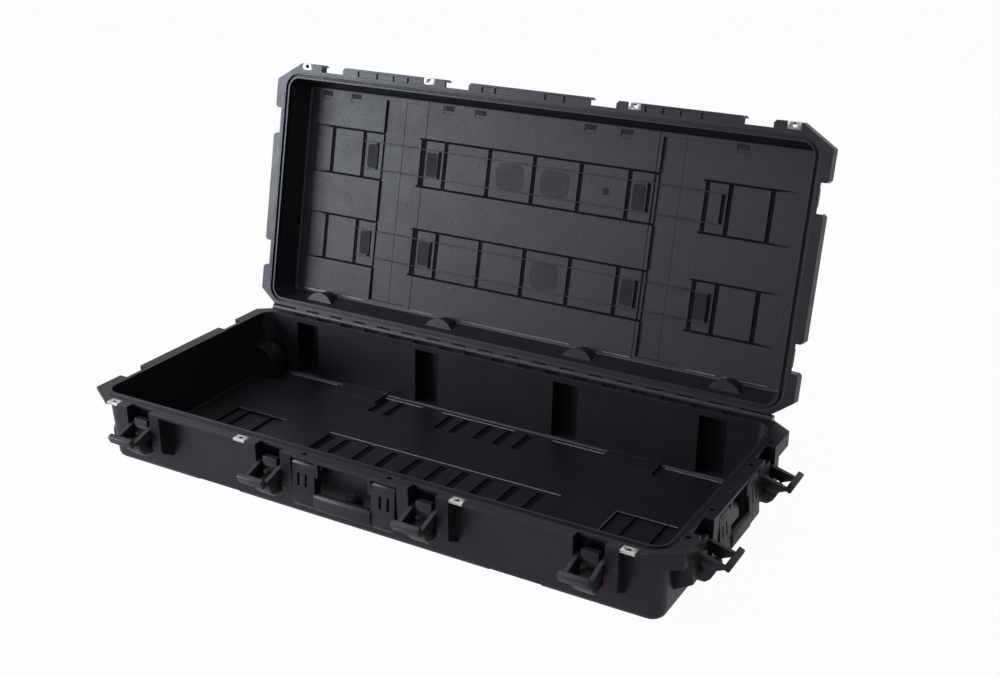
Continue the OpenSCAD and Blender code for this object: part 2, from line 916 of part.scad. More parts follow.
module lid_shell() {
    color(black)
        opened()
            lid_shut();
}

module lid_seal() {
    color(dark)
        opened()
            seal_channel(seal_gap, seal_gap + seal_t);
}

module hinge_rod() {
    color(steel)
        translate([0, hinge_y, hinge_z])
            bar(rod_r, 2 * hinge_half);
}

// Latches, drawn about their pins

module at_latch_pin(i) {
    on_side(LATCHES[i][0], LATCHES[i][1])
        translate([0, -pin_out, -pin_drop])
            children();
}

module bail_arm_outline() {
    difference() {
        union() {
            circle(bail_eye_r);
            polygon([[0, -bail_eye_r], [0, arm_top_near], [plate_near - over, arm_top_far],
                [plate_near + plate_t / 2, arm_top_far], [plate_near + plate_t / 2, plate_low + plate_r],
                [arm_low_far, -arm_low_drop]]);
        }
        circle(latch_pin_r + pin_gap);
    }
}

module latch_bail(i) {
    bail_w = notch_w - 2 * side_gap;
    color(dark)
        at_latch_pin(i)
            rotate([bail_droop, 0, 0]) {
                for (end = [-1, 1])
                    translate([end * (bail_w - bail_arm_w) / 2, 0, 0])
                        along(bail_arm_w)
                            bail_arm_outline();
                along(bail_w)
                    translate([plate_near + plate_t / 2, (plate_low + plate_high) / 2])
                        rounded_rect(plate_t / 2, (plate_high - plate_low) / 2, plate_r);
            }
}

module latch_trigger(i) {
    color(dark)
        at_latch_pin(i)
            difference() {
                union() {
                    along(trigger_w) {
                        circle(trigger_eye_r);
                        polygon([[-trigger_top_in, 0], [trigger_top_out, 0], [trigger_top_out, trigger_top],
                            [-trigger_top_in, trigger_top]]);
                        polygon([[-lobe_in, -lobe_top - over], [lobe_in, -lobe_top - over], [trigger_eye_r, 0],
                            [-trigger_eye_r, 0]]);
                    }
                    intersection() {
                        along(lobe_w)
                            polygon([for (p = lobe_shares)
                                [p[0] * lobe_out - lobe_in, -lobe_top - p[1] * lobe_h]]);
                        translate([0, 0, -lobe_top - lobe_h / 2])
                            rotate([90, 0, 0])
                                linear_extrude(2 * lobe_out, center = true)
                                    rounded_rect(lobe_w / 2, lobe_h / 2, lobe_r);
                    }
                }
                bar(latch_pin_r + pin_gap, lobe_w);
                bar(latch_pin_r + spring_t + 2 * pin_gap, spring_w);
            }
}

module latch_pins() {
    color(steel)
        for (i = [0:len(LATCHES) - 1])
            at_latch_pin(i)
                bar(latch_pin_r, notch_w + 2 * pin_seat);
}

module trigger_springs() {
    color(steel)
        for (i = [0:len(LATCHES) - 1])
            at_latch_pin(i)
                difference() {
                    bar(latch_pin_r + spring_t, spring_w - 2 * close_gap);
                    bar(latch_pin_r + pin_gap, spring_w);
                }
}

module latch_marks() {
    color("red")
        mark_places()
            translate([0, 0, -mark_t])
                cylinder(r = mark_r, h = mark_t);
}

// Steel plate let into a rim: a strip with a hole, folded down over the rim's edge
module lock_plate(edge, fold) {
    difference() {
        union() {
            block(-lock_w / 2, lock_w / 2, -edge, -lock_in, -lock_t, 0);
            block(-lock_w / 2, lock_w / 2, -edge, lock_t - edge, -fold, 0);
        }
        translate([0, -lock_hole_out, -lock_t - over])
            cylinder(r = lock_hole_r, h = lock_t + 2 * over);
    }
}

module base_padlock_plates() {
    color(steel)
        lock_places(tub_h)
            lock_plate(rim_out, lock_lip);
}

module lid_padlock_plates() {
    color(steel)
        opened()
            lock_places(lid_low)
                mirror([0, 0, 1])
                    lock_plate(rim_out - lid_rim_inset, lock_lip);
}

// Handles, drawn about their pins

module at_handle_pin(side) {
    on_side(side, 0)
        translate([0, -handle_out, -handle_drop])
            children();
}

module grip_outline(half_t, half_h, r) {
    translate([grip_out, -grip_drop])
        rounded_rect(half_t, half_h, r);
}

// Rounds the lower corners of a handle arm, as seen from the front
module arm_rounded() {
    low = arm_end_drop + arm_end_r;
    high = arm_eye_r + arm_corner_r;
    intersection() {
        children();
        rotate([90, 0, 0])
            linear_extrude(2 * arm_end_drop, center = true)
                translate([0, (high - low) / 2])
                    rounded_rect(arm_w / 2, (high + low) / 2, arm_corner_r);
    }
}

module handle_frame(side, half) {
    color(black)
        at_handle_pin(side) {
            for (end = [-1, 1])
                difference() {
                    translate([end * (half - arm_w / 2), 0, 0])
                        arm_rounded()
                            along(arm_w)
                            difference() {
                                union() {
                                    circle(arm_eye_r);
                                    polygon([[-arm_eye_r, 0], [arm_eye_r, 0],
                                        [arm_end_out + arm_end_r, -arm_end_drop],
                                        [arm_end_out - arm_end_r, -arm_end_drop]]);
                                    translate([arm_end_out, -arm_end_drop])
                                        circle(arm_end_r);
                                }
                                circle(handle_pin_r + pin_gap);
                            }
                    for (share = slot_shares)
                        translate([end * (half - share * arm_w), -arm_eye_r, -(slot_top + slot_low) / 2])
                            cube([slot_w, 2 * slot_depth, slot_low - slot_top], center = true);
                }
            along(2 * (half - arm_w))
                grip_outline(core_t / 2, core_h / 2, core_t / 4);
        }
}

module handle_grip(side, half) {
    color(dark)
        at_handle_pin(side)
            along(2 * (half - arm_w))
                difference() {
                    grip_outline(grip_t / 2, grip_h / 2, grip_t / 2.2);
                    grip_outline(core_t / 2, core_h / 2, core_t / 4);
                }
}

module handle_pins(side, half) {
    color(steel)
        handle_pin_places(side, half)
            bar(handle_pin_r, handle_pin_l());
}

// Wheels, drawn about their axles

module at_wheel(side) {
    translate([wheel_in - wall_x, side * wheel_y, wheel_z])
        rotate([90, 0, 0])
            children();
}

module wheel_tyre(side) {
    color(dark)
        at_wheel(side)
            rotate_extrude()
                difference() {
                    translate([(hub_r + wheel_r) / 2, 0])
                        rounded_rect((wheel_r - hub_r) / 2, wheel_w / 2, tyre_groove_r);
                    for (place = [-wheel_w / 4, 0, wheel_w / 4])
                        translate([wheel_r, place])
                            circle(tyre_groove_r);
                }
}

module wheel_hub(side) {
    color(black)
        at_wheel(side)
            difference() {
                cylinder(r = hub_r, h = wheel_w, center = true);
                for (face = [-1, 1])
                    translate([0, 0, face * (wheel_w - hub_recess) / 2])
                        difference() {
                            cylinder(r = hub_r - hub_recess, h = hub_recess + close_gap, center = true);
                            cylinder(r = hub_boss_r, h = 2 * hub_recess, center = true);
                        }
                for (i = [1:hub_holes])
                    rotate([0, 0, i * 360 / hub_holes])
                        translate([hub_hole_place, 0, 0])
                            cylinder(r = hub_hole_r, h = wheel_w, center = true);
                cylinder(r = axle_r + pin_gap, h = wheel_w + over, center = true);
            }
}

module wheel_axles() {
    color(steel)
        for (side = [-1, 1])
            at_wheel(side)
                cylinder(r = axle_r, h = wheel_w + 2 * (washer_t + washer_gap + axle_seat), center = true);
}

module wheel_washers() {
    color(steel)
        for (side = [-1, 1], face = [-1, 1])
            at_wheel(side)
                translate([0, 0, face * (wheel_w + washer_t + 2 * washer_gap) / 2])
                    difference() {
                        cylinder(r = axle_r + washer_wall, h = washer_t, center = true);
                        cylinder(r = axle_r + pin_gap, h = washer_t + over, center = true);
                    }
}

// Pressure vent

module vent_body() {
    color(dark)
        vent_place() {
            translate([0, 0, -vent_shank_in])
                cylinder(r = vent_shank_r, h = vent_shank_in + vent_gasket_t + vent_flange_t);
            translate([0, 0, vent_gasket_t])
                cylinder(r = vent_flange_r, h = vent_flange_t);
        }
}

module vent_gasket() {
    color(black)
        vent_place()
            difference() {
                cylinder(r = vent_flange_r, h = vent_gasket_t);
                translate([0, 0, -over])
                    cylinder(r = vent_shank_r + pin_gap, h = vent_gasket_t + 2 * over);
            }
}

module vent_cap() {
    color(black)
        vent_place()
            translate([0, 0, vent_gasket_t + vent_flange_t])
                difference() {
                    cylinder(r = vent_cap_r, h = vent_cap_t);
                    for (i = [1:vent_slits])
                        rotate([0, 0, i * 360 / vent_slits])
                            translate([vent_cap_r, 0, vent_cap_t])
                                cube([vent_cap_r, vent_slit_w, 2 * vent_slit_depth], center = true);
                }
}

base_shell();
lid_shell();
lid_seal();
hinge_rod();
latch_bail(0);  // latch_1_bail
latch_bail(1);  // latch_2_bail
latch_bail(2);  // latch_3_bail
latch_bail(3);  // latch_4_bail
latch_bail(4);  // latch_5_bail
latch_bail(5);  // latch_6_bail
latch_bail(6);  // latch_7_bail
latch_bail(7);  // latch_8_bail
latch_trigger(0);  // latch_1_trigger
latch_trigger(1);  // latch_2_trigger
latch_trigger(2);  // latch_3_trigger
latch_trigger(3);  // latch_4_trigger
latch_trigger(4);  // latch_5_trigger
latch_trigger(5);  // latch_6_trigger
latch_trigger(6);  // latch_7_trigger
latch_trigger(7);  // latch_8_trigger
latch_pins();
trigger_springs();
latch_marks();
base_padlock_plates();
lid_padlock_plates();
handle_frame(0, handle_half(short_latch_x));  // front_handle_frame
handle_grip(0, handle_half(short_latch_x));  // front_handle_grip
handle_pins(0, handle_half(short_latch_x));  // front_handle_pins
handle_frame(1, handle_half(end_latch_y));  // end_handle_frame
handle_grip(1, handle_half(end_latch_y));  // end_handle_grip
handle_pins(1, handle_half(end_latch_y));  // end_handle_pins
wheel_tyre(-1);  // front_wheel_tyre
wheel_hub(-1);  // front_wheel_hub
wheel_tyre(1);  // rear_wheel_tyre
wheel_hub(1);  // rear_wheel_hub
wheel_axles();
wheel_washers();
vent_body();
vent_gasket();
vent_cap();
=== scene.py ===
"""Looks of a long, wheeled protective hard case: finishes, soft edges, trim, light and camera."""

from __future__ import annotations

import json
import logging
import math
from dataclasses import dataclass, field
from enum import Enum

import bmesh
import bpy
from mathutils import Matrix, Vector

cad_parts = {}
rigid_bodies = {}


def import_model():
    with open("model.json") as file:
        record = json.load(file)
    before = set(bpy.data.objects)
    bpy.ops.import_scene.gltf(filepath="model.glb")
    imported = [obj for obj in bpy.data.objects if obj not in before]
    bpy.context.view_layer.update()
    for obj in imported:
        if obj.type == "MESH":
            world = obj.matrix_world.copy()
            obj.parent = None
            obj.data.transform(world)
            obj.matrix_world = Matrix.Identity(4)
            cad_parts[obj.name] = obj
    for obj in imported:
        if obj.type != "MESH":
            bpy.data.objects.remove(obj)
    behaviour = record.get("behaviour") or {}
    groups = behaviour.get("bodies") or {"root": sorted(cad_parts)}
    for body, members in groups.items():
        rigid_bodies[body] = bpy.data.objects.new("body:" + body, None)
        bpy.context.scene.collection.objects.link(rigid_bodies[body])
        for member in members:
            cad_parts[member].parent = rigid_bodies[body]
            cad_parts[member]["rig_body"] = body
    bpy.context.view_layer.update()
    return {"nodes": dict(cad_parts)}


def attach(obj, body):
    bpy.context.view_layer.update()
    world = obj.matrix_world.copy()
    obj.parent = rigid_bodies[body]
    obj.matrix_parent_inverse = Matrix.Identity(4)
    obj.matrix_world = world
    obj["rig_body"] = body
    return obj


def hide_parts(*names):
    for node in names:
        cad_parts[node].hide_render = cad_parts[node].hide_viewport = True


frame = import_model()
LOG = logging.getLogger("hard_case")
MM = 0.001
GLOSS_TINT = (0.84, 0.88, 1.0)
FACING = 0.9
SIDEWAYS = 0.3


class Slot(Enum):
    """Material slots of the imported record."""

    SHELL = "shell_plastic"
    LATCH = "latch_plastic"
    GRIP = "grip_rubber"
    SEAL = "seal_rubber"
    TYRE = "tyre_rubber"
    STEEL = "bright_steel"
    MARK = "red_plastic"


class NodeWork:
    """A node tree, with short calls to add nodes and to join them."""

    def __init__(self, tree: bpy.types.NodeTree) -> None:
        """Takes up a tree.

        Args:
            tree: Tree that the nodes go into.
        """
        self.tree = tree

    def add(self, kind: str, **settings: object) -> bpy.types.Node:
        """Adds a node.

        Args:
            kind: Blender's name of the node type.
            **settings: Properties of the node, by name.

        Returns:
            The new node.
        """
        made = self.tree.nodes.new(kind)
        for name, value in settings.items():
            setattr(made, name, value)
        return made

    def join(self, start: bpy.types.Node, out: int | str, end: bpy.types.Node, into: int | str) -> None:
        """Joins an output socket to an input socket.

        Args:
            start: Node that the link leaves.
            out: Its output socket.
            end: Node that the link enters.
            into: Its input socket.
        """
        self.tree.links.new(start.outputs[out], end.inputs[into])


class Shading(NodeWork):
    """A material's node tree, which ends in a Principled shader."""

    def __init__(self, name: str) -> None:
        """Starts the material.

        Args:
            name: Name of the material.
        """
        self.material = bpy.data.materials.new(name)
        self.material.use_nodes = True
        super().__init__(self.material.node_tree)
        self.tree.nodes.clear()
        self.output = self.add("ShaderNodeOutputMaterial")
        self.shader = self.add("ShaderNodeBsdfPrincipled")
        self.join(self.shader, 0, self.output, 0)
        self.places = self.add("ShaderNodeTexCoord")

    def noise(self, size: float, detail: float = 3.0, roughness: float = 0.55) -> bpy.types.Node:
        """Adds a noise pattern on the piece's own coordinates.

        Args:
            size: Size of one grain, in metres.
            detail: Number of finer layers.
            roughness: Strength of the finer layers.

        Returns:
            The noise node.
        """
        made = self.add("ShaderNodeTexNoise")
        made.inputs["Scale"].default_value = 1.0 / size
        made.inputs["Detail"].default_value = detail
        made.inputs["Roughness"].default_value = roughness
        self.join(self.places, "Object", made, "Vector")
        return made

    def spread(self, source: bpy.types.Node, out: int | str, low: float, high: float,
               start: float = 0.0, end: float = 1.0) -> bpy.types.Node:
        """Maps a value from one range to another.

        Args:
            source: Node whose output is mapped.
            out: Its output socket.
            low: Value given at start.
            high: Value given at end.
            start: Lowest source value.
            end: Highest source value.

        Returns:
            The node with the mapped value.
        """
        made = self.add("ShaderNodeMapRange")
        made.inputs["From Min"].default_value = start
        made.inputs["From Max"].default_value = end
        made.inputs["To Min"].default_value = low
        made.inputs["To Max"].default_value = high
        self.join(source, out, made, "Value")
        return made

    def edges(self, radius: float) -> bpy.types.Node:
        """Adds a mask that is one on rounded outer edges and zero elsewhere, for rubbed edges and painted edge
        highlight.

        Args:
            radius: Width of the worn edge, in metres.

        Returns:
            The node with the mask.
        """
        rounded = self.add("ShaderNodeBevel", samples=4)
        rounded.inputs["Radius"].default_value = radius
        plain = self.add("ShaderNodeNewGeometry")
        match = self.add("ShaderNodeVectorMath", operation="DOT_PRODUCT")
        self.join(rounded, "Normal", match, 0)
        self.join(plain, "True Normal", match, 1)
        return self.spread(match, "Value", 1.0, 0.0, 0.80, 0.995)

    def bump(self, source: bpy.types.Node, out: int | str, depth: float, strength: float,
             under: bpy.types.Node | None = None) -> bpy.types.Node:
        """Adds a bump from a height value.

        Args:
            source: Node that gives the height.
            out: Its output socket.
            depth: Height of the bump, in metres.
            strength: Share of the bump that shows.
            under: Node whose normal the bump is laid on.

        Returns:
            The bump node.
        """
        made = self.add("ShaderNodeBump")
        made.inputs["Distance"].default_value = depth
        made.inputs["Strength"].default_value = strength
        self.join(source, out, made, "Height")
        if under is not None:
            self.join(under, "Normal", made, "Normal")
        return made


@dataclass(frozen=True)
class MouldedPlastic:
    """Textured injection-moulded plastic with mottled gloss and lighter edges, part rubbed plastic and part
    painted edge highlight.
    """

    name: str
    colour: tuple[float, float, float]
    worn_and_sheen: tuple[float, float, float]
    gloss: tuple[float, float] = (0.42, 0.60)
    grain: float = 1.6 * MM
    grain_depth: float = 0.12 * MM
    grain_strength: float = 0.55
    edge: float = 1.1 * MM
    wear_and_sheen: float = 0.5
    specular: float = 0.42
    fleck: float = 4.5 * MM
    fleck_gain: float = 2.4
    cloud: float = 60 * MM
    scuff: float = 9 * MM

    def make(self) -> bpy.types.Material:
        """Builds the material.

        Returns:
            The finished material.
        """
        paint = Shading(self.name)
        shader = paint.shader
        shader.inputs["Specular IOR Level"].default_value = self.specular
        shader.inputs["Specular Tint"].default_value = (*GLOSS_TINT, 1.0)
        cloud = paint.noise(self.cloud, 4.0)
        flecks = paint.noise(self.fleck, 3.0, 0.75)
        grain = paint.noise(self.grain, 2.0, 0.6)
        scuff = paint.noise(self.scuff, 6.0, 0.7)
        # Lighter rounded edges, in patches: part rubbed plastic, part painted edge highlight.
        edges = paint.edges(self.edge)
        worn_and_sheen = paint.add("ShaderNodeMath", operation="MULTIPLY")
        paint.join(edges, 0, worn_and_sheen, 0)
        patch = paint.spread(scuff, 0, 0.15, self.wear_and_sheen, 0.35, 0.7)
        paint.join(patch, 0, worn_and_sheen, 1)
        tone = paint.add("ShaderNodeMix", data_type="RGBA")
        tone.inputs["A"].default_value = (*self.colour, 1.0)
        tone.inputs["B"].default_value = (*(min(1.0, self.fleck_gain * c) for c in self.colour), 1.0)
        paint.join(paint.spread(flecks, 0, 0.0, 1.0, 0.42, 0.72), 0, tone, "Factor")
        mixed = paint.add("ShaderNodeMix", data_type="RGBA")
        mixed.inputs["B"].default_value = (*self.worn_and_sheen, 1.0)
        paint.join(worn_and_sheen, 0, mixed, "Factor")
        paint.join(tone, "Result", mixed, "A")
        paint.join(mixed, "Result", shader, "Base Color")
        soft = paint.add("ShaderNodeMath", operation="ADD")
        paint.join(paint.spread(cloud, 0, self.gloss[0], self.gloss[1], 0.2, 0.8), 0, soft, 0)
        paint.join(paint.spread(flecks, 0, 0.05, -0.05, 0.3, 0.7), 0, soft, 1)
        paint.join(soft, 0, shader, "Roughness")
        rounded = paint.add("ShaderNodeBevel", samples=4)
        rounded.inputs["Radius"].default_value = self.edge
        relief = paint.bump(grain, 0, self.grain_depth, self.grain_strength, rounded)
        paint.join(relief, "Normal", shader, "Normal")
        return paint.material


@dataclass(frozen=True)
class SoftRubber:
    """Matt rubber with a fine pebble grain."""

    name: str
    colour: tuple[float, float, float]
    gloss: tuple[float, float] = (0.62, 0.8)
    pebble: float = 1.1 * MM
    pebble_depth: float = 0.15 * MM
    specular: float = 0.35
    dust: float = 14 * MM
    dust_gain: float = 1.8

    def make(self) -> bpy.types.Material:
        """Builds the material.

        Returns:
            The finished material.
        """
        paint = Shading(self.name)
        shader = paint.shader
        shader.inputs["Specular IOR Level"].default_value = self.specular
        shader.inputs["Specular Tint"].default_value = (*GLOSS_TINT, 1.0)
        pebbles = paint.add("ShaderNodeTexVoronoi")
        pebbles.inputs["Scale"].default_value = 1.0 / self.pebble
        paint.join(paint.places, "Object", pebbles, "Vector")
        dust = paint.noise(self.dust, 5.0)
        tone = paint.add("ShaderNodeMix", data_type="RGBA")
        tone.inputs["A"].default_value = (*self.colour, 1.0)
        tone.inputs["B"].default_value = (*(self.dust_gain * c for c in self.colour), 1.0)
        paint.join(paint.spread(dust, 0, 0.0, 1.0, 0.45, 0.8), 0, tone, "Factor")
        paint.join(tone, "Result", shader, "Base Color")
        paint.join(paint.spread(dust, 0, self.gloss[0], self.gloss[1], 0.3, 0.7), 0, shader, "Roughness")
        relief = paint.bump(pebbles, "Distance", self.pebble_depth, 0.5)
        paint.join(relief, "Normal", shader, "Normal")
        return paint.material


@dataclass(frozen=True)
class StampedSteel:
    """Bright sheet steel with fine rolling lines and small scratches."""

    name: str
    colour: tuple[float, float, float] = (0.66, 0.66, 0.67)
    gloss: tuple[float, float] = (0.28, 0.46)
    rolling: tuple[float, float, float] = (60.0, 1600.0, 1600.0)
    scratch: float = 0.02 * MM
    stain: float = 7 * MM
    stain_gain: float = 0.8

    def make(self) -> bpy.types.Material:
        """Builds the material.

        Returns:
            The finished material.
        """
        paint = Shading(self.name)
        shader = paint.shader
        shader.inputs["Metallic"].default_value = 1.0
        stretch = paint.add("ShaderNodeMapping")
        stretch.inputs["Scale"].default_value = self.rolling
        paint.join(paint.places, "Object", stretch, "Vector")
        lines = paint.add("ShaderNodeTexNoise")
        lines.inputs["Scale"].default_value = 1.0
        lines.inputs["Detail"].default_value = 4.0
        paint.join(stretch, "Vector", lines, "Vector")
        stain = paint.noise(self.stain, 5.0)
        tone = paint.add("ShaderNodeMix", data_type="RGBA")
        tone.inputs["A"].default_value = (*self.colour, 1.0)
        tone.inputs["B"].default_value = (*(self.stain_gain * c for c in self.colour), 1.0)
        paint.join(stain, 0, tone, "Factor")
        paint.join(tone, "Result", shader, "Base Color")
        paint.join(paint.spread(lines, 0, self.gloss[0], self.gloss[1], 0.3, 0.7), 0, shader, "Roughness")
        relief = paint.bump(lines, 0, self.scratch, 0.4)
        paint.join(relief, "Normal", shader, "Normal")
        return paint.material


SHELL = MouldedPlastic("case_black_plastic", (0.0052, 0.0055, 0.0070), (0.032, 0.033, 0.038),
                       gloss=(0.36, 0.46), grain=1.9 * MM, grain_depth=0.2 * MM, grain_strength=0.6)
PANEL = MouldedPlastic("panel_black_plastic", (0.0085, 0.0090, 0.0112), (0.036, 0.037, 0.042),
                       gloss=(0.46, 0.54), grain=2.2 * MM, grain_depth=0.25 * MM, grain_strength=0.8)
# Near-black, rough finish for the grooves, the gussets' sides and the band edge lines: painted shade.
GROOVE_SHADE = MouldedPlastic("groove_painted_shade_plastic", (0.0018, 0.0018, 0.0022), (0.008, 0.008, 0.009),
                        gloss=(0.7, 0.85), wear_and_sheen=0.2, specular=0.12)
PATCH = MouldedPlastic("patch_black_plastic", (0.0040, 0.0040, 0.0048), (0.014, 0.014, 0.016),
                       gloss=(0.62, 0.75), grain=0.8 * MM, grain_depth=0.3 * MM, wear_and_sheen=0.2, specular=0.3)
FAINT = MouldedPlastic("faint_patch_plastic", (0.0068, 0.0072, 0.0088), (0.02, 0.02, 0.023),
                       gloss=(0.56, 0.66), grain=0.9 * MM, grain_depth=0.25 * MM, wear_and_sheen=0.2, specular=0.38)
# Pale glossy finish for thin beads along step edges and the panel's foot: painted highlight.
STEP_GLINT = MouldedPlastic("painted_glint_plastic", (0.11, 0.111, 0.116), (0.19, 0.19, 0.195),
                      gloss=(0.14, 0.24), grain_strength=0.2, specular=0.9)
LATCH = MouldedPlastic("latch_black_plastic", (0.010, 0.0105, 0.0115), (0.04, 0.041, 0.043),
                       gloss=(0.38, 0.52), grain=1.0 * MM, grain_depth=0.06 * MM)
RED = MouldedPlastic("mark_red_plastic", (0.42, 0.012, 0.014), (0.5, 0.1, 0.1), gloss=(0.35, 0.5))
GRIP = SoftRubber("grip_black_rubber", (0.0095, 0.0098, 0.0122), gloss=(0.42, 0.52), specular=0.48)
SEAL = SoftRubber("seal_black_rubber", (0.006, 0.006, 0.0065), gloss=(0.45, 0.6), pebble=2.5 * MM)
TYRE = SoftRubber("tyre_black_rubber", (0.011, 0.011, 0.011), pebble=1.8 * MM)
STEEL = StampedSteel("plate_bright_steel")
# A darker copy of the bright steel for the lid's padlock plates: painted shade.
SHADED_STEEL = StampedSteel("plate_shaded_steel", (0.27, 0.27, 0.28))


class Finishes:
    """The finished materials, each made once."""

    def __init__(self) -> None:
        """Builds one material for each slot of the record."""
        self.by_slot = {
            Slot.SHELL: SHELL.make(),
            Slot.LATCH: LATCH.make(),
            Slot.GRIP: GRIP.make(),
            Slot.SEAL: SEAL.make(),
            Slot.TYRE: TYRE.make(),
            Slot.STEEL: STEEL.make(),
            Slot.MARK: RED.make(),
        }
        self.groove = GROOVE_SHADE.make()
        self.panel = PANEL.make()
        self.patch = PATCH.make()
        self.faint = FAINT.make()
        self.step = STEP_GLINT.make()
        self.shaded_steel = SHADED_STEEL.make()

    def dress(self, piece: bpy.types.Object, slot: Slot) -> None:
        """Gives a piece the finish of a slot.

        Args:
            piece: Object to finish.
            slot: Slot whose material it takes.
        """
        piece.data.materials.clear()
        piece.data.materials.append(self.by_slot[slot])


def new_piece(name: str, mesh: bpy.types.Mesh) -> bpy.types.Object:
    """Links a new object that holds a mesh.

    Args:
        name: Name of the piece.
        mesh: Its mesh, in the row's frame.

    Returns:
        The new object.
    """
    piece = bpy.data.objects.new(name, mesh)
    bpy.context.scene.collection.objects.link(piece)
    return piece


def shade_rounded(mesh: bpy.types.Mesh, sharp: float) -> None:
    """Shades fillets and round corners smooth, while flat faces stay flat.

    Args:
        mesh: Mesh that gets its own corner normals.
        sharp: Angle from which two faces meet in a crisp edge.
    """
    around: list[list[tuple[Vector, float]]] = [[] for _ in mesh.vertices]
    for face in mesh.polygons:
        normal = face.normal.copy()
        for vertex in face.vertices:
            around[vertex].append((normal, face.area))
    least = math.cos(sharp)
    normals = []
    for face in mesh.polygons:
        own = face.normal.copy()
        for vertex in face.vertices:
            total = own * 1e-12
            for normal, area in around[vertex]:
                if normal.dot(own) > least:
                    total += normal * area
            normals.append(total.normalized() if total.length > 0 else own)
    mesh.normals_split_custom_set([tuple(normal) for normal in normals])


def settle(piece: bpy.types.Object) -> None:
    """Turns what a piece's modifiers make into its plain mesh.

    Args:
        piece: Piece whose modifiers are applied and removed.
    """
    finished = bpy.data.meshes.new_from_object(piece.evaluated_get(bpy.context.evaluated_depsgraph_get()))
    piece.modifiers.clear()
    piece.data = finished


@dataclass
class SoftenedNode:
    """A rigid CAD node shown through a copy of its mesh with rounded edges."""

    node: str
    slot: Slot
    width: float = 0.7 * MM
    segments: int = 2
    merge: float = 0.02 * MM
    flat: float = math.radians(1.5)
    sharp: float = math.radians(28)

    def build(self, finishes: Finishes) -> bpy.types.Object:
        """Copies the node's mesh, rounds its edges and lets the copy stand for the node.

        Args:
            finishes: Materials to dress the piece with.

        Returns:
            The new piece.
        """
        source = frame["nodes"][self.node]
        mesh = source.data.copy()
        work = bmesh.new()
        work.from_mesh(mesh)
        bmesh.ops.remove_doubles(work, verts=work.verts, dist=self.merge)
        bmesh.ops.dissolve_limit(work, angle_limit=self.flat, verts=work.verts, edges=work.edges)
        for face in work.faces:
            face.smooth = True
        work.to_mesh(mesh)
        work.free()
        piece = new_piece(f"{self.node}_shown", mesh)
        bevel = piece.modifiers.new("rounded_edges", "BEVEL")
        bevel.width = self.width
        bevel.segments = self.segments
        bevel.limit_method = "ANGLE"
        bevel.angle_limit = self.sharp
        bevel.use_clamp_overlap = True
        bevel.harden_normals = True
        settle(piece)
        finishes.dress(piece, self.slot)
        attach(piece, source["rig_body"])
        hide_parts(self.node)
        return piece


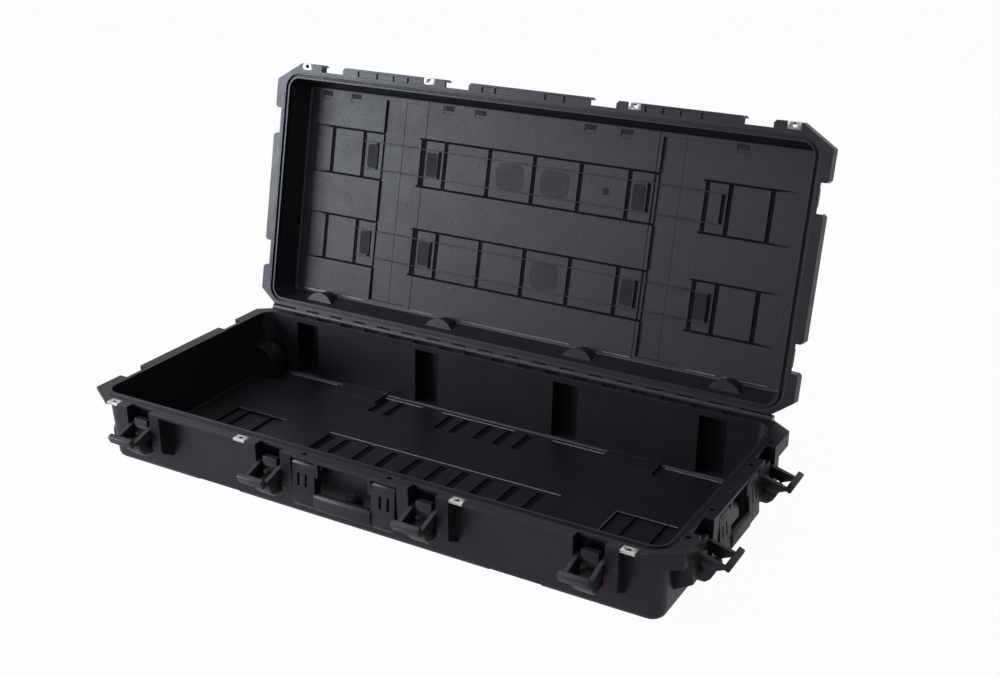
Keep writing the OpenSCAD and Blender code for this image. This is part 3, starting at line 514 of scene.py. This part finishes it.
@dataclass
class MouldedShell:
    """A shell shown through a copy of its CAD mesh, with painted shade as a near-black finish in its grooves
    and on the sides of the gussets, and, where given, a more matt panel.

    Depths are measured along across, from datum: those of the grooves' floors and walls, of the wide panel, and
    of the shallow grooves near the hinge, after their lowest and highest Y. The gussets under the front rim are
    given by the farthest X, the front Y and the lowest and highest Z of their sides.
    """

    node: str
    across: Vector
    datum: float
    floors: tuple[float, float]
    walls: tuple[float, float]
    half_length: float
    side: tuple[float, float]
    panel: tuple[float, float] = (0.0, 0.0)
    shallow: tuple[float, float, float, float] = (0.0, 0.0, 0.0, 0.0)
    gussets: tuple[float, float, float, float] = (0.0, 0.0, 0.0, 0.0)
    merge: float = 0.01 * MM
    sharp: float = math.radians(16)

    def depth(self, place: Vector) -> float:
        """Measures how deep a place lies.

        Args:
            place: A place in the row's frame.

        Returns:
            Its distance along the shell's own depth direction, from the datum.
        """
        return place.dot(self.across) - self.datum

    def is_groove(self, middle: Vector, normal: Vector) -> bool:
        """Tells whether a face belongs to a groove of the panel.

        Args:
            middle: Middle of the face.
            normal: Its outward normal.

        Returns:
            True for a groove's floor or wall.
        """
        deep = self.depth(middle)
        facing = -normal.dot(self.across)
        if abs(middle.x) > self.half_length or not self.side[0] < middle.y < self.side[1]:
            return False
        if facing > FACING:
            return self.floors[0] < deep < self.floors[1] or self.is_back_groove(middle, deep)
        return abs(facing) < SIDEWAYS and self.walls[0] < deep < self.walls[1]

    def is_back_groove(self, middle: Vector, deep: float) -> bool:
        """Tells whether an upward face is the floor of the shallow grooves near the hinge.

        Args:
            middle: Middle of the face.
            deep: Its depth.

        Returns:
            True for such a floor.
        """
        return self.shallow[0] < middle.y < self.shallow[1] and self.shallow[2] < deep < self.shallow[3]

    def is_gusset(self, middle: Vector, normal: Vector) -> bool:
        """Tells whether a face is the side of a gusset under the front rim.

        Args:
            middle: Middle of the face.
            normal: Its outward normal.

        Returns:
            True for a gusset's side.
        """
        reach, front, low, high = self.gussets
        return abs(normal.x) > FACING and middle.y < front and low < middle.z < high and abs(middle.x) < reach

    def is_panel(self, middle: Vector, normal: Vector) -> bool:
        """Tells whether a face belongs to the wide, more matt panel.

        Args:
            middle: Middle of the face.
            normal: Its outward normal.

        Returns:
            True for a face of the panel.
        """
        return -normal.dot(self.across) > FACING and self.panel[0] < self.depth(middle) < self.panel[1]

    def build(self, finishes: Finishes) -> bpy.types.Object:
        """Copies the shell, paints shade into its grooves and gusset sides with a near-black finish, and gives
        its panel the more matt finish.

        Args:
            finishes: Materials to dress the piece with.

        Returns:
            The new piece.
        """
        source = frame["nodes"][self.node]
        mesh = source.data.copy()
        work = bmesh.new()
        work.from_mesh(mesh)
        bmesh.ops.remove_doubles(work, verts=work.verts, dist=self.merge)
        work.to_mesh(mesh)
        work.free()
        piece = new_piece(f"{self.node}_shown", mesh)
        finishes.dress(piece, Slot.SHELL)
        mesh.materials.append(finishes.groove)
        mesh.materials.append(finishes.panel)
        for face in mesh.polygons:
            # Groove floors and walls, the shallow grooves near the hinge and the gussets' sides take the
            # near-black finish: painted shade.
            if self.is_groove(face.center, face.normal) or self.is_gusset(face.center, face.normal):
                face.material_index = 1
            elif self.is_panel(face.center, face.normal):
                face.material_index = 2
            face.use_smooth = True
        shade_rounded(mesh, self.sharp)
        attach(piece, source["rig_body"])
        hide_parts(self.node)
        LOG.info("built %s", piece.name)
        return piece


HINGE = Vector((0.0, 272.6 * MM, 150.4 * MM))
LID_TURN = math.radians(-103)
LID_ACROSS = Vector((0.0, 0.97437, -0.22495))
LID_DATUM = HINGE.dot(LID_ACROSS) - 3.4 * MM
SHELLS = (
    MouldedShell("base_shell", Vector((0.0, 0.0, -1.0)), -147 * MM, (141.4 * MM, 143.6 * MM),
                 (139.6 * MM, 143.5 * MM), 380 * MM, (-240 * MM, 240 * MM),
                 shallow=(156 * MM, 236 * MM, 138.0 * MM, 141.0 * MM),
                 gussets=(400 * MM, -250 * MM, 122 * MM, 137 * MM)),
    MouldedShell("lid_shell", LID_ACROSS, LID_DATUM, (62.7 * MM, 64.3 * MM), (61.2 * MM, 63.6 * MM),
                 545 * MM, (290 * MM, 1000 * MM), panel=(57 * MM, 65.4 * MM)),
)


class GrowingTree(NodeWork):
    """A geometry node tree with named inputs, which ends in Realize Instances and Set Material."""

    def __init__(self, name: str) -> None:
        """Starts an empty tree.

        Args:
            name: Name of the tree.
        """
        super().__init__(bpy.data.node_groups.new(name, "GeometryNodeTree"))
        self.identifiers: dict[str, str] = {}
        for way in ("INPUT", "OUTPUT"):
            self.tree.interface.new_socket("Geometry", in_out=way, socket_type="NodeSocketGeometry")
        self.start = self.add("NodeGroupInput")
        self.end = self.add("NodeGroupOutput")

    def ask(self, name: str, kind: str = "NodeSocketFloat") -> None:
        """Adds a named input.

        Args:
            name: Name of the input.
            kind: Type of its socket.
        """
        socket = self.tree.interface.new_socket(name, in_out="INPUT", socket_type=kind)
        self.identifiers[name] = socket.identifier

    def close(self, last: bpy.types.Node) -> None:
        """Ends the tree in Realize Instances and Set Material.

        Args:
            last: Node that gives the grown geometry.
        """
        self.ask("Finish", "NodeSocketMaterial")
        real = self.add("GeometryNodeRealizeInstances")
        paint = self.add("GeometryNodeSetMaterial")
        self.join(last, 0, real, 0)
        self.join(real, 0, paint, "Geometry")
        self.join(self.start, "Finish", paint, "Material")
        self.join(paint, 0, self.end, 0)

    def grow(self, name: str, seed: bpy.types.Mesh, sizes: dict[str, object], body: str,
             slot: Slot) -> bpy.types.Object:
        """Grows one piece from a seed mesh and makes it a plain mesh.

        Args:
            name: Name of the piece.
            seed: Path or points that it grows on.
            sizes: Values of the named inputs.
            body: Body that it rides on.
            slot: Not used.

        Returns:
            The finished piece.
        """
        piece = new_piece(name, seed)
        grown = piece.modifiers.new("grown", "NODES")
        grown.node_group = self.tree
        for label, value in sizes.items():
            grown[self.identifiers[label]] = value
        settle(piece)
        work = bmesh.new()
        work.from_mesh(piece.data)
        bmesh.ops.remove_doubles(work, verts=work.verts, dist=0.001 * MM)
        bmesh.ops.recalc_face_normals(work, faces=work.faces)
        work.to_mesh(piece.data)
        work.free()
        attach(piece, body)
        LOG.info("grew %s with %d faces", name, len(piece.data.polygons))
        return piece


def bead_tree() -> GrowingTree:
    """Makes the tree that sweeps a round bead along a path.

    Returns:
        The tree, with the inputs Bead Radius, Bead Sides and Finish.
    """
    grown = GrowingTree("bead_along_path")
    grown.ask("Bead Radius")
    grown.ask("Bead Sides", "NodeSocketInt")
    path = grown.add("GeometryNodeMeshToCurve")
    ring = grown.add("GeometryNodeCurvePrimitiveCircle")
    sweep = grown.add("GeometryNodeCurveToMesh")
    sweep.inputs["Fill Caps"].default_value = True
    smooth = grown.add("GeometryNodeSetShadeSmooth")
    grown.join(grown.start, "Geometry", path, 0)
    grown.join(grown.start, "Bead Radius", ring, "Radius")
    grown.join(grown.start, "Bead Sides", ring, "Resolution")
    grown.join(path, 0, sweep, "Curve")
    grown.join(ring, 0, sweep, "Profile Curve")
    grown.join(sweep, 0, smooth, 0)
    grown.close(smooth)
    return grown


def repeat_tree() -> GrowingTree:
    """Makes the tree that sets one shape on every point, turned as the points say.

    Returns:
        The tree, with the inputs Shape, Shape Scale and Finish.
    """
    grown = GrowingTree("shape_on_points")
    grown.ask("Shape", "NodeSocketObject")
    grown.ask("Shape Scale")
    shape = grown.add("GeometryNodeObjectInfo")
    turn = grown.add("GeometryNodeInputNamedAttribute", data_type="FLOAT_VECTOR")
    turn.inputs["Name"].default_value = "turn"
    euler = grown.add("FunctionNodeEulerToRotation")
    copies = grown.add("GeometryNodeInstanceOnPoints")
    grown.join(grown.start, "Shape", shape, "Object")
    grown.join(grown.start, "Geometry", copies, "Points")
    grown.join(shape, "Geometry", copies, "Instance")
    grown.join(turn, "Attribute", euler, 0)
    grown.join(euler, 0, copies, "Rotation")
    grown.join(grown.start, "Shape Scale", copies, "Scale")
    grown.close(copies)
    return grown


def path_mesh(paths: list[list[Vector]], closed: bool) -> bpy.types.Mesh:
    """Makes a mesh of edges along some paths.

    Args:
        paths: Points of each path, in metres.
        closed: Whether each path returns to its start.

    Returns:
        The mesh.
    """
    points: list[Vector] = []
    edges: list[tuple[int, int]] = []
    for path in paths:
        first = len(points)
        points.extend(path)
        edges.extend((first + i, first + i + 1) for i in range(len(path) - 1))
        if closed:
            edges.append((len(points) - 1, first))
    mesh = bpy.data.meshes.new("path")
    mesh.from_pydata([tuple(point) for point in points], edges, [])
    return mesh


def lay_bead(tree: GrowingTree, name: str, paths: list[list[Vector]], radius: float,
             material: bpy.types.Material, body: str, sides: int = 8, closed: bool = False) -> None:
    """Lays a round bead along some paths.

    Args:
        tree: Tree that sweeps a bead.
        name: Name of the piece.
        paths: Points of each path, in metres.
        radius: Radius of the bead.
        material: Its finish.
        body: Body that it rides on.
        sides: Sides of the bead.
        closed: Whether each path returns to its start.
    """
    sizes = {"Bead Radius": radius, "Bead Sides": sides, "Finish": material}
    tree.grow(name, path_mesh(paths, closed), sizes, body, Slot.SHELL)


def point_mesh(points: list[Vector], turn: tuple[float, float, float]) -> bpy.types.Mesh:
    """Makes a mesh of loose points that carry a turn.

    Args:
        points: The points, in metres.
        turn: Turn about each axis, in radians.

    Returns:
        The mesh.
    """
    mesh = bpy.data.meshes.new("points")
    mesh.from_pydata([tuple(point) for point in points], [], [])
    turns = mesh.attributes.new("turn", "FLOAT_VECTOR", "POINT")
    for index in range(len(points)):
        turns.data[index].vector = turn
    return mesh


def rounded_loop(half_x: float, near: float, far: float, radius: float,
                 steps: int = 10) -> list[tuple[float, float]]:
    """Lists the points of a rectangle with rounded corners.

    Args:
        half_x: Half its length.
        near: Its lowest Y.
        far: Its highest Y.
        radius: Radius of its corners.
        steps: Steps in each corner.

    Returns:
        The points, in order.
    """
    corners = ((half_x - radius, far - radius, 0), (radius - half_x, far - radius, 90),
               (radius - half_x, near + radius, 180), (half_x - radius, near + radius, 270))
    return [(x + radius * math.cos(math.radians(start + 90 * i / steps)),
             y + radius * math.sin(math.radians(start + 90 * i / steps)))
            for x, y, start in corners for i in range(steps + 1)]


def pad_shape(name: str, width: float, depth: float, corner: float, height: float) -> bpy.types.Object:
    """Makes a flat pad with rounded corners and a soft upper edge.

    Args:
        name: Name of the shape.
        width: Size along X, in millimetres.
        depth: Size along Y, in millimetres.
        corner: Radius of its corners, in millimetres.
        height: Thickness, in millimetres.

    Returns:
        The object, to be removed once it has been repeated.
    """
    outline = rounded_loop(width / 2, -depth / 2, depth / 2, corner, 5)
    low = [(x * MM, y * MM, height / 2 * MM) for x, y in outline]
    high = [(x * MM, y * MM, -0.3 * height * MM) for x, y in outline]
    ease = 1 - 0.5 / width
    top = [(x * ease * MM, y * ease * MM, -height / 2 * MM) for x, y in outline]
    count = len(outline)
    faces = [tuple(range(count)), tuple(range(3 * count - 1, 2 * count - 1, -1))]
    for level in range(2):
        faces.extend((level * count + i, (level + 1) * count + i, (level + 1) * count + (i + 1) % count,
                      level * count + (i + 1) % count) for i in range(count))
    mesh = bpy.data.meshes.new(name)
    mesh.from_pydata(low + high + top, [], faces)
    return new_piece(name, mesh)


def in_lid(x: float, y: float, depth: float) -> Vector:
    """Finds where a place of the closed lid lies once the lid stands open.

    Args:
        x: X in the closed case, in millimetres.
        y: Y in the closed case, in millimetres.
        depth: Height above the base's top edge in the closed case, in millimetres.

    Returns:
        The place in the row's frame, in metres.
    """
    shut = Vector((x * MM, y * MM, (147 + depth) * MM)) - HINGE
    return HINGE + Matrix.Rotation(LID_TURN, 3, "X") @ shut


@dataclass
class LidTrim:
    """What lies on the lid's inner panel: matt patches, small marks, two fine lines, near-black lines along the
    band's edges as painted shade, pale lines along the panel's foot as painted highlight, and a bead round the
    rim.

    Places are those of the closed lid, in millimetres: X, Y and height above the base's top edge.
    """

    narrow: tuple[tuple[float, float], ...] = (
        (-405, -97), (-250, -97), (240, -97), (-405, 97), (-250, 97), (240, 97), (400, 97))
    broad: tuple[tuple[float, float], ...] = ((-56, -97), (50, -97), (50, 97))
    squares: tuple[float, ...] = (-538, -460, -217, -141, 117, 199, 443)
    marks: tuple[tuple[float, float, float], ...] = (
        (-137, -113, 61.9), (130, -114, 61.9), (-308, 0, 64.9), (-455, 5, 59.9))
    dark_mark: tuple[float, float, float] = (167, -98, 61.9)
    narrow_depth: float = 61.9
    broad_depth: float = 61.95
    square_row: tuple[float, float] = (-224, 60.9)
    ends: tuple[float, float] = (-238, 226)
    lines: tuple[float, ...] = (-330, 325)
    line_depth: float = 64.9
    # X of the near-black lines along the band's edges, and their height: painted shade of the band's edge
    # walls.
    shade_lines: tuple[float, ...] = (-270.2, 270.2)
    shade_line_depth: float = 60.4
    feet: tuple[tuple[float, float], ...] = (
        (-560, -470), (-452, -392), (-266, -205), (-135, 130), (205, 266), (392, 452), (470, 560))
    foot_row: tuple[float, float] = (226.5, 60.3)
    rim: tuple[float, float, float, float] = (612, -260, 260, 44)
    rim_depth: float = -2.75
    body: str = "lid"

    def patches(self, repeat: GrowingTree, finishes: Finishes) -> None:
        """Sets the matt patches and the small marks on the panel.

        Args:
            repeat: Tree that repeats a shape on points.
            finishes: Materials to dress the pieces with.
        """
        groups = (
            ("lid_narrow_patches", (27, 52, 6, 0.6), [(x, y, self.narrow_depth) for x, y in self.narrow],
             finishes.patch),
            ("lid_broad_patches", (66, 54, 16, 0.5), [(x, y, self.broad_depth) for x, y in self.broad],
             finishes.faint),
            ("lid_square_patches", (26, 16, 1.5, 0.5), [(x, *self.square_row) for x in self.squares],
             finishes.patch),
            ("lid_round_marks", (8, 8, 3.9, 0.9), self.marks, finishes.by_slot[Slot.LATCH]),
            ("lid_dark_mark", (15, 15, 7.4, 0.6), [self.dark_mark], finishes.patch),
        )
        for name, sizes, places, material in groups:
            shape = pad_shape(f"{name}_shape", *sizes)
            seed = point_mesh([in_lid(*place) for place in places], (LID_TURN, 0.0, 0.0))
            repeat.grow(name, seed, {"Shape": shape, "Shape Scale": 1.0, "Finish": material}, self.body,
                        Slot.SHELL)
            bpy.data.objects.remove(shape)

    def across(self, places: tuple[float, ...], depth: float) -> list[list[Vector]]:
        """Lists straight paths from the hinge side of the panel to the other.

        Args:
            places: X of each path.
            depth: Height of the paths.

        Returns:
            The two ends of each path.
        """
        return [[in_lid(x, y, depth) for y in self.ends] for x in places]

    def build(self, bead: GrowingTree, repeat: GrowingTree, finishes: Finishes) -> None:
        """Builds the lid's trim.

        Args:
            bead: Tree that sweeps a bead.
            repeat: Tree that repeats a shape on points.
            finishes: Materials to dress the pieces with.
        """
        self.patches(repeat, finishes)
        foot = [[in_lid(x, *self.foot_row) for x in span] for span in self.feet]
        rim = [in_lid(x, y, self.rim_depth) for x, y in rounded_loop(*self.rim)]
        # Near-black beads along the band's edges: painted shade.
        lay_bead(bead, "lid_band_seams", self.across(self.shade_lines, self.shade_line_depth), 0.9 * MM, finishes.groove,
                 self.body)
        # Pale beads along the panel's foot: painted highlight.
        lay_bead(bead, "lid_foot_lines", foot, 1.1 * MM, finishes.step, self.body, 10)
        lay_bead(bead, "lid_fine_lines", self.across(self.lines, self.line_depth), 0.6 * MM, finishes.panel,
                 self.body)
        lay_bead(bead, "lid_rim_bead", [rim], 0.9 * MM, finishes.by_slot[Slot.LATCH], self.body, closed=True)


@dataclass
class BaseTrim:
    """What edges the base: a bead round the rim and pale lines along the floor's steps that paint in glints, in
    millimetres.
    """

    rim: tuple[float, float, float, float] = (615, -263, 260.5, 48)
    rim_height: float = 142.3
    steps: tuple[tuple[tuple[float, float], ...], ...] = (
        ((-271, 36.6), (271, 36.6)), ((-388, 30), (-388, 36.6), (-512, 36.6)),
        ((388, -196), (388, 36.6), (512, 36.6)), ((-266, 232.6), (-170, 232.6)),
        ((-120, 232.6), (60, 232.6)), ((150, 232.6), (271, 232.6)), ((-530, 236), (-400, 236)),
        ((400, 236), (540, 236)))
    step_height: float = 9.9
    body: str = "base"

    def build(self, bead: GrowingTree, finishes: Finishes) -> None:
        """Builds the base's trim.

        Args:
            bead: Tree that sweeps a bead.
            finishes: Materials to dress the pieces with.
        """
        rim = [Vector((x, y, self.rim_height)) * MM for x, y in rounded_loop(*self.rim)]
        steps = [[Vector((x, y, self.step_height)) * MM for x, y in step] for step in self.steps]
        lay_bead(bead, "base_rim_bead", [rim], 0.9 * MM, finishes.by_slot[Slot.LATCH], self.body, closed=True)
        # Pale beads along the floor's step edges: painted highlight.
        lay_bead(bead, "floor_step_lines", steps, 1.2 * MM, finishes.step, self.body)


@dataclass
class Latches:
    """The eight latches, with their pins, springs and red marks."""

    count: int = 8
    plain: dict[str, Slot] = field(default_factory=lambda: {
        "latch_pins": Slot.STEEL, "trigger_springs": Slot.STEEL, "latch_marks": Slot.MARK})

    def build(self, finishes: Finishes) -> None:
        """Softens the bails and triggers and dresses the small pieces.

        Args:
            finishes: Materials to dress them with.
        """
        for number in range(1, self.count + 1):
            SoftenedNode(f"latch_{number}_bail", Slot.LATCH, 1.4 * MM, 3).build(finishes)
            SoftenedNode(f"latch_{number}_trigger", Slot.LATCH, 1.6 * MM, 3).build(finishes)
        for name, slot in self.plain.items():
            finishes.dress(frame["nodes"][name], slot)
        LOG.info("built %d latches", self.count)


@dataclass
class Handles:
    """Front and end handle."""

    ends: tuple[str, ...] = ("front", "end")

    def build(self, finishes: Finishes) -> None:
        """Softens the frames and grips and dresses the pins.

        Args:
            finishes: Materials to dress them with.
        """
        for end in self.ends:
            SoftenedNode(f"{end}_handle_frame", Slot.SHELL, 1.8 * MM, 3).build(finishes)
            SoftenedNode(f"{end}_handle_grip", Slot.GRIP, 0.8 * MM, 2).build(finishes)
            finishes.dress(frame["nodes"][f"{end}_handle_pins"], Slot.STEEL)
            LOG.info("built the %s handle", end)


@dataclass
class Wheels:
    """The two wheels in their wells, with axles and washers."""

    sides: tuple[str, ...] = ("front", "rear")

    def build(self, finishes: Finishes) -> None:
        """Softens the wheels and dresses what carries them.

        Args:
            finishes: Materials to dress them with.
        """
        for side in self.sides:
            SoftenedNode(f"{side}_wheel_tyre", Slot.TYRE, 0.8 * MM, 2).build(finishes)
            SoftenedNode(f"{side}_wheel_hub", Slot.LATCH, 0.8 * MM, 2).build(finishes)
        for name in ("wheel_axles", "wheel_washers"):
            finishes.dress(frame["nodes"][name], Slot.STEEL)
        LOG.info("built the wheels")


@dataclass
class Fittings:
    """Hinge rod, seal, padlock plates and pressure vent."""

    plain: dict[str, Slot] = field(default_factory=lambda: {
        "hinge_rod": Slot.STEEL, "lid_seal": Slot.SEAL, "vent_body": Slot.LATCH, "vent_gasket": Slot.SEAL,
        "vent_cap": Slot.LATCH})

    def build(self, finishes: Finishes) -> None:
        """Dresses the fittings.

        Args:
            finishes: Materials to dress them with.
        """
        for name, slot in self.plain.items():
            finishes.dress(frame["nodes"][name], slot)
        SoftenedNode("base_padlock_plates", Slot.STEEL, 0.4 * MM, 2).build(finishes)
        upper = SoftenedNode("lid_padlock_plates", Slot.STEEL, 0.4 * MM, 2).build(finishes)
        # The lid's plates take the darker copy of the steel: painted shade.
        upper.data.materials[0] = finishes.shaded_steel
        LOG.info("built the fittings")


@dataclass(frozen=True)
class Lamp:
    """A square soft lamp that points at the middle of the object."""

    name: str
    place: tuple[float, float, float]
    size: float
    power: float
    aim: tuple[float, float, float] = (0.0, 0.1, 0.25)

    def hang(self) -> None:
        """Adds the lamp to the scene."""
        data = bpy.data.lights.new(self.name, "AREA")
        data.shape = "SQUARE"
        data.size = self.size
        data.energy = self.power
        lamp = bpy.data.objects.new(self.name, data)
        ray = Vector(self.aim) - Vector(self.place)
        turn = ray.to_track_quat("-Z", "Y").to_matrix().to_4x4()
        lamp.matrix_world = Matrix.Translation(self.place) @ turn
        bpy.context.scene.collection.objects.link(lamp)


@dataclass
class Studio:
    """Camera, floor, lamps and world."""

    lens: float = 48.47
    sensor: float = 36.0
    sight: float = 100.0
    eye: Vector = field(default_factory=lambda: Vector((1.3000, -1.9673, 1.2653)))
    right: Vector = field(default_factory=lambda: Vector((0.86552174, 0.5008667, -0.00215907)))
    up: Vector = field(default_factory=lambda: Vector((-0.18991262, 0.33216079, 0.92390606)))
    back: Vector = field(default_factory=lambda: Vector((0.46347094, -0.79925075, 0.38261329)))
    floor_half: float = 14.0
    floor_share: float = 0.975
    floor_tone: tuple[float, float, float] = (0.5, 0.5, 0.5)
    gloss_share: float = 0.6
    soft_light: float = 0.18
    soft_tone: tuple[float, float, float] = (0.9, 0.93, 1.0)
    lamps: tuple[Lamp, ...] = (
        Lamp("key_lamp", (-2.6, -1.8, 1.0), 1.4, 100.0),
        Lamp("top_lamp", (-1.4, -0.6, 3.2), 2.0, 30.0),
        Lamp("back_lamp", (-0.8, 2.9, 2.4), 1.6, 12.0),
    )

    def camera(self) -> None:
        """Sets the camera at the photograph's place and angle."""
        data = bpy.data.cameras.new("camera")
        data.lens = self.lens
        data.sensor_width = self.sensor
        data.clip_end = self.sight
        camera = bpy.data.objects.new("camera", data)
        turn = Matrix((self.right, self.up, self.back)).transposed()
        camera.matrix_world = Matrix.Translation(self.eye) @ turn.to_4x4()
        bpy.context.scene.collection.objects.link(camera)
        bpy.context.scene.camera = camera

    def show(self, work: NodeWork, share: float, plain: bpy.types.Node, pale: bpy.types.Node,
             out: bpy.types.Node) -> None:
        """Shows a pale shader to what sees it straight, in gloss or through glass, and a plain one to all else.

        Args:
            work: Tree that holds the shaders.
            share: Share of the pale shader where it is seen straight.
            plain: The plain shader.
            pale: The pale shader.
            out: Output that takes the mix.
        """
        rays = work.add("ShaderNodeLightPath")
        last, socket = rays, "Is Camera Ray"
        for name in ("Is Glossy Ray", "Is Transmission Ray"):
            weaker = work.add("ShaderNodeMath", operation="MULTIPLY")
            weaker.inputs[1].default_value = self.gloss_share
            either = work.add("ShaderNodeMath", operation="MAXIMUM")
            work.join(rays, name, weaker, 0)
            work.join(last, socket, either, 0)
            work.join(weaker, 0, either, 1)
            last, socket = either, 0
        part = work.add("ShaderNodeMath", operation="MULTIPLY")
        part.inputs[1].default_value = share
        mix = work.add("ShaderNodeMixShader")
        work.join(last, socket, part, 0)
        work.join(part, 0, mix, 0)
        work.join(plain, 0, mix, 1)
        work.join(pale, 0, mix, 2)
        work.join(mix, 0, out, 0)

    def world(self) -> None:
        """Makes a world that looks white and lights the object softly."""
        world = bpy.data.worlds.new("studio")
        bpy.context.scene.world = world
        world.use_nodes = True
        work = NodeWork(world.node_tree)
        work.tree.nodes.clear()
        white = work.add("ShaderNodeBackground")
        white.inputs["Color"].default_value = (1.0, 1.0, 1.0, 1.0)
        soft = work.add("ShaderNodeBackground")
        soft.inputs["Color"].default_value = (*self.soft_tone, 1.0)
        soft.inputs["Strength"].default_value = self.soft_light
        self.show(work, 1.0, soft, white, work.add("ShaderNodeOutputWorld"))

    def floor(self) -> None:
        """Lays a pale floor that keeps the object's shadow."""
        mesh = bpy.data.meshes.new("floor")
        half = self.floor_half
        corners = [(-half, -half, 0), (half, -half, 0), (half, half, 0), (-half, half, 0)]
        mesh.from_pydata(corners, [], [(0, 1, 2, 3)])
        floor = new_piece("floor", mesh)
        material = bpy.data.materials.new("pale_floor")
        material.use_nodes = True
        work = NodeWork(material.node_tree)
        work.tree.nodes.clear()
        matt = work.add("ShaderNodeBsdfDiffuse")
        matt.inputs["Color"].default_value = (*self.floor_tone, 1.0)
        glow = work.add("ShaderNodeEmission")
        glow.inputs["Color"].default_value = (1.0, 1.0, 1.0, 1.0)
        glow.inputs["Strength"].default_value = 1.0
        self.show(work, self.floor_share, matt, glow, work.add("ShaderNodeOutputMaterial"))
        mesh.materials.append(material)

    def build(self) -> None:
        """Sets up the whole studio."""
        self.camera()
        self.world()
        self.floor()
        for lamp in self.lamps:
            lamp.hang()
        bpy.context.scene.view_settings.view_transform = "Standard"
        LOG.info("set up the studio")


def main() -> None:
    """Builds and dresses every sub-assembly, in order."""
    logging.basicConfig(level=logging.INFO)
    finishes = Finishes()
    Studio().build()
    for shell in SHELLS:
        shell.build(finishes)
    bead, repeat = bead_tree(), repeat_tree()
    LidTrim().build(bead, repeat, finishes)
    BaseTrim().build(bead, finishes)
    Latches().build(finishes)
    Handles().build(finishes)
    Wheels().build(finishes)
    Fittings().build(finishes)


if __name__ == "__main__":
    main()
